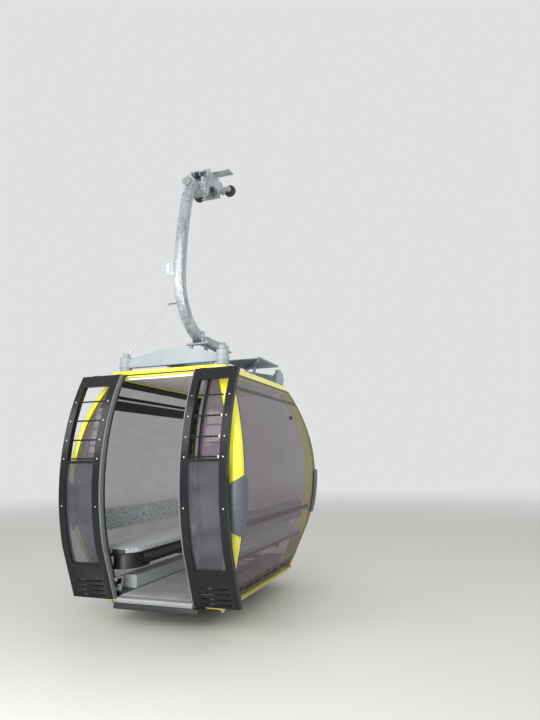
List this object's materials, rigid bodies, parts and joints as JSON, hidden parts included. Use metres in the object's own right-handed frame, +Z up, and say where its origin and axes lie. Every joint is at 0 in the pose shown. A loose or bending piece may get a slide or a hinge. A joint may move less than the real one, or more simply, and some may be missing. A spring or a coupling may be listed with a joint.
{
  "type": "cable car cabin",
  "caption": "Enclosed cable car cabin hung from a rope grip by a curved arm, with glazed bulging walls, doors standing open, and facing benches.",
  "frame": {"origin": "centre of the rope in the grip's clamp", "axes": "+Z up, +X along the rope, -Y towards the doors"},
  "size_m": [1.834, 2.6549, 4.6776],
  "materials": {
    "yellow_paint": "gloss",
    "door_black": "gloss",
    "black_paint": "satin",
    "smoked_glass": "smoked",
    "bumper_grey": "matt",
    "frame_grey": "satin",
    "galvanised": "dull",
    "aluminium": "brushed",
    "felt": "needle felt",
    "rubber": "matt",
    "ceiling_white": "matt",
    "jaw_steel": "ground",
    "spring_steel": "satin",
    "wheel_tyre": "matt"
  },
  "bodies": {
    "grip": {"grip_frame": "galvanised", "moving_jaw": "jaw_steel", "jaw_pin": "jaw_steel", "spring_stacks": "spring_steel", "swing_pin": "jaw_steel", "friction_plate": "galvanised"},
    "cabin": {"bottom_frame": "yellow_paint", "ceiling_panel": "ceiling_white", "corner_bumpers": "bumper_grey", "door_arms": "door_black", "door_jambs": "black_paint", "end_vent_strips": "black_paint", "floor": "aluminium", "front_left_pillar": "yellow_paint", "front_right_pillar": "yellow_paint", "guide_wings": "frame_grey", "handrails": "black_paint", "hanger_arm": "galvanised", "left_backrest": "felt", "left_backrest_rail": "black_paint", "left_bench_frame": "black_paint", "left_door_bars": "black_paint", "left_door_frame": "door_black", "left_door_glass": "smoked_glass", "left_door_seal": "rubber", "left_end_window": "smoked_glass", "left_heater_box": "aluminium", "left_seat_pad": "felt", "rear_left_pillar": "yellow_paint", "rear_right_pillar": "yellow_paint", "rear_vent_strip": "black_paint", "rear_window": "smoked_glass", "right_backrest": "felt", "right_backrest_rail": "black_paint", "right_bench_frame": "black_paint", "right_door_bars": "black_paint", "right_door_frame": "door_black", "right_door_glass": "smoked_glass", "right_door_seal": "rubber", "right_end_window": "smoked_glass", "right_heater_box": "aluminium", "right_seat_pad": "felt", "roof_dampers": "frame_grey", "roof_gutter": "yellow_paint", "roof_rail": "yellow_paint", "roof_skin": "frame_grey", "side_panes": "smoked_glass", "suspension_frame": "frame_grey", "threshold": "aluminium", "transoms": "black_paint", "underframe": "black_paint", "upper_windows": "smoked_glass"},
    "front_wheel": {"front_running_wheel": "wheel_tyre"},
    "rear_wheel": {"rear_running_wheel": "wheel_tyre"},
    "lever_roller": {"coupling_roller": "wheel_tyre"}
  },
  "joints": [
    {"name": "cabin_swing", "type": "hinge", "parent": "grip", "child": "cabin", "pos_m": [0, -0.51, -0.1], "axis": [0, 1, 0], "range_deg": [-20, 20]},
    {"name": "front_wheel_spin", "type": "hinge", "parent": "grip", "child": "front_wheel", "pos_m": [0.205, 0.12, 0.085], "axis": [0, 1, 0], "continuous": true},
    {"name": "rear_wheel_spin", "type": "hinge", "parent": "grip", "child": "rear_wheel", "pos_m": [-0.205, 0.12, 0.085], "axis": [0, 1, 0], "continuous": true},
    {"name": "roller_spin", "type": "hinge", "parent": "grip", "child": "lever_roller", "pos_m": [0, -0.348, 0.096], "axis": [1, 0, 0], "continuous": true}
  ]
}
